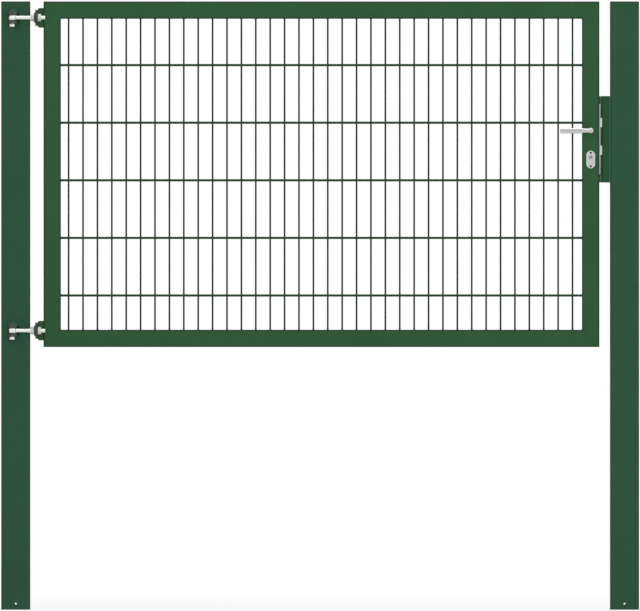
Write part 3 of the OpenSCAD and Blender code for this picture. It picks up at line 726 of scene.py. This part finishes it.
EAR_T = 6.0
BASE_BEAD, BASE_BEAD_IN = 1.9, 0.4                        # radius, and how far it is sunk
EAR_BEAD, EAR_BEAD_SHORT, EAR_BEAD_OUT = 1.3, 4.5, 4.2    # radius, short of each end, off the post
post_welds = Builder()
for level, (px, py, pz) in HINGES.items():
    lo, hi = corners(level + "_hinge_clevis")
    half_w, half_h, base_face = (hi[0] - lo[0]) / 2, (hi[2] - lo[2]) / 2, hi[1]
    bead(post_welds, stadium(px, pz, half_w, half_h - half_w, base_face - BASE_BEAD_IN), BASE_BEAD,
         seed=11, closed=True)
    ear_out = corners(level + "_hinge_spacers")[1][2] - pz + EAR_T
    half, y = half_w - EAR_BEAD_SHORT, base_face - EAR_BEAD_OUT
    for z in (pz - ear_out, pz + ear_out):
        straight(post_welds, (px - half, y, z), (px + half, y, z), EAR_BEAD, seed=12)

STRIKE_BEAD, STRIKE_BEAD_IN, STRIKE_BEAD_EDGE = 2.2, 1.4, 1.6    # radius, in along X, in along Y
# These beads carry a lighter coat, a painted highlight
strike_welds = Builder()
x = strike_hi[0] - STRIKE_BEAD_IN
for y in (strike_lo[1] + STRIKE_BEAD_EDGE, strike_hi[1] - STRIKE_BEAD_EDGE):
    straight(strike_welds, (x, y, strike_lo[2]), (x, y, strike_hi[2]), STRIKE_BEAD, seed=30)
strike_welds.make("strike_welds", "posts", "strike_weld_coating")

BAR_BEAD, BAR_BEAD_OUT = 1.2, 0.2                        # radius, off the box's side and the bar
BAR_BEAD_FIRST, BAR_BEAD_PITCH, BAR_BEAD_LENGTH = 24, 105.0, 28
x, y = strike_lo[0] - BAR_BEAD_OUT, corners("stop_bar")[0][1] - BAR_BEAD_OUT
for k in range(3):
    z = strike_lo[2] + BAR_BEAD_FIRST + k * BAR_BEAD_PITCH
    straight(post_welds, (x, y, z), (x, y, z + BAR_BEAD_LENGTH), BAR_BEAD, seed=40 + k)
post_welds.make("post_welds", "posts", "post_coating")

# A bracket's two pairs of beads: off the stile's and the plate's place along X, half the height,
# radius, seed, and off the front and the back of the web
AT_STILE, AT_PLATE = (0.2, 33, 1.4, 21, 0.4, 0.4), (0.3, 23.5, 1.5, 23, 0.3, 0.1)
leaf_welds = Builder()
for level, (px, py, pz) in HINGES.items():
    lo, hi = corners(level + "_leaf_bracket")
    plate_x = corners(level + "_leaf_side_washer")[0][0]
    web_front, web_back = hi[1] - (plate_x - lo[0]), hi[1]
    for place, (off, half, r, seed, off_front, off_back) in ((stile_lo[0], AT_STILE),
                                                             (plate_x, AT_PLATE)):
        x = place + off
        for y in (web_front - off_front, web_back + off_back):
            straight(leaf_welds, (x, y, pz - half), (x, y, pz + half), r, seed)
leaf_welds.make("bracket_welds", "leaf", "bracket_coating")

SEAM, SEAM_SUNK, SEAM_SHORT = 1.0, 0.75, 2.5    # ground flush, on the frame's front and back
INNER_BEAD, INNER_BEAD_SHORT = 2.0, 3           # in the frame's inner corners
mitres = Builder()
for corner_x, way_x in ((stile_lo[0], 1), (lock_hi[0], -1)):
    for corner_z, way_z in ((rail_lo[2], 1), (top_hi[2], -1)):
        for y, out in ((stile_lo[1], -1), (stile_hi[1], 1)):
            ends = [(corner_x + way_x * d, y - out * SEAM_SUNK, corner_z + way_z * d)
                    for d in (SEAM_SHORT, FRAME_W - SEAM_SHORT)]
            straight(mitres, *ends, SEAM, seed=50, ripple=0.03, pitch=3.0)
        x, z = corner_x + way_x * FRAME_W, corner_z + way_z * FRAME_W
        ends = [(x, stile_lo[1] + INNER_BEAD_SHORT, z), (x, stile_hi[1] - INNER_BEAD_SHORT, z)]
        straight(mitres, *ends, INNER_BEAD, seed=60)
mitres.make("mitre_welds", "leaf", "leaf_coating")


# ---------------------------------------------------------------- stage, light, camera

AIM = (1.05, 0.0, 1.2)
WHITE = (1, 1, 1, 1)
DOME_STRENGTH = 0.30


def area_light(name, place, size, power, mirrored=False):
    """A soft lamp aimed at the gate; metal and gloss show only the lamps that are mirrored, and
    the white studio."""
    data = bpy.data.lights.new(name, "AREA")
    data.shape = "RECTANGLE"
    data.size, data.size_y = size
    data.energy = power
    obj = bpy.data.objects.new(name, data)
    obj.location = place
    obj.visible_glossy = mirrored
    obj.rotation_mode = "QUATERNION"
    obj.rotation_quaternion = (Vector(AIM) - Vector(place)).to_track_quat("-Z", "Y")
    bpy.context.scene.collection.objects.link(obj)


def seen(tree):
    """1 for the rays by which the camera or a gloss sees a surface, 0 for the rest."""
    rays = tree.add("LightPath").outputs
    return tree.math("MAXIMUM", rays["Is Camera Ray"], rays["Is Glossy Ray"])


def mixed(tree, share, first, second, output):
    """Sends two shaders, mixed by a share, to an output."""
    mix = tree.add("MixShader")
    for place, value in enumerate((share, first.outputs[0], second.outputs[0])):
        tree.put(mix, place, value)
    tree.put(output, "Surface", mix.outputs[0])


area_light("front", (1.7, -11.0, 2.2), (2.4, 2.4), 560)
area_light("key", (-3.6, -6.0, 4.6), (3.0, 3.0), 80)
area_light("fill", (6.0, -1.5, 2.6), (3.0, 3.0), 60)
area_light("back", (2.8, 6.0, 3.2), (3.0, 3.0), 220)
area_light("top", (1.05, -0.4, 5.2), (5.0, 3.0), 70, mirrored=True)

world = bpy.data.worlds.new("studio")
bpy.context.scene.world = world
tree = Tree(world)
dome = tree.nodes["Background"]
tree.put(dome, "Color", WHITE)
tree.put(dome, "Strength", DOME_STRENGTH)
mixed(tree, seen(tree), dome, tree.add("Background", Color=WHITE, Strength=1.0),
      tree.nodes["World Output"])

# The floor is white far off, and keeps the object's soft shadow near it
FLOOR = 30.0
FLOOR_GREY = (0.82, 0.82, 0.82, 1)
FADE_FROM, FADE_TO, LEAST_WHITE = 1.2, 3.6, 0.80
floor_mat = bpy.data.materials.new("floor_white")
tree = Tree(floor_mat)
tree.nodes.remove(tree.nodes["Principled BSDF"])
away = tree.add("VectorMath", {"operation": "DISTANCE"})
tree.put(away, 0, tree.coords())
tree.put(away, 1, (AIM[0], AIM[1], 0.0))
fade = tree.map_range(away.outputs["Value"], FADE_FROM, FADE_TO, LEAST_WHITE, 1.0)
mixed(tree, tree.math("MULTIPLY", seen(tree), fade), tree.add("BsdfDiffuse", Color=FLOOR_GREY),
      tree.add("Emission", Color=WHITE), tree.nodes["Material Output"])

mesh = bpy.data.meshes.new("floor")
mesh.from_pydata([(x * FLOOR, y * FLOOR, 0) for x, y in ((-1, -1), (1, -1), (1, 1), (-1, 1))],
                 [], [(0, 1, 2, 3)])
mesh.materials.append(floor_mat)
floor = bpy.data.objects.new("floor", mesh)
bpy.context.scene.collection.objects.link(floor)

CAMERA_AWAY = 60.0
CAMERA_X, CAMERA_Z = 1.0570, 1.0562
FRAME_WIDTH = 2.2220    # what the picture shows at the front plane
FRONT_PLANE = -0.05
camera_data = bpy.data.cameras.new("camera")
camera_data.sensor_width = 36.0
camera_data.lens = camera_data.sensor_width * (CAMERA_AWAY + FRONT_PLANE) / FRAME_WIDTH
camera_data.clip_end = 400.0
camera = bpy.data.objects.new("camera", camera_data)
camera.matrix_world = (Matrix.Translation((CAMERA_X, -CAMERA_AWAY, CAMERA_Z))
                       @ Matrix.Rotation(math.pi / 2, 4, "X"))
bpy.context.scene.collection.objects.link(camera)
bpy.context.scene.camera = camera
bpy.context.scene.view_settings.view_transform = "Standard"
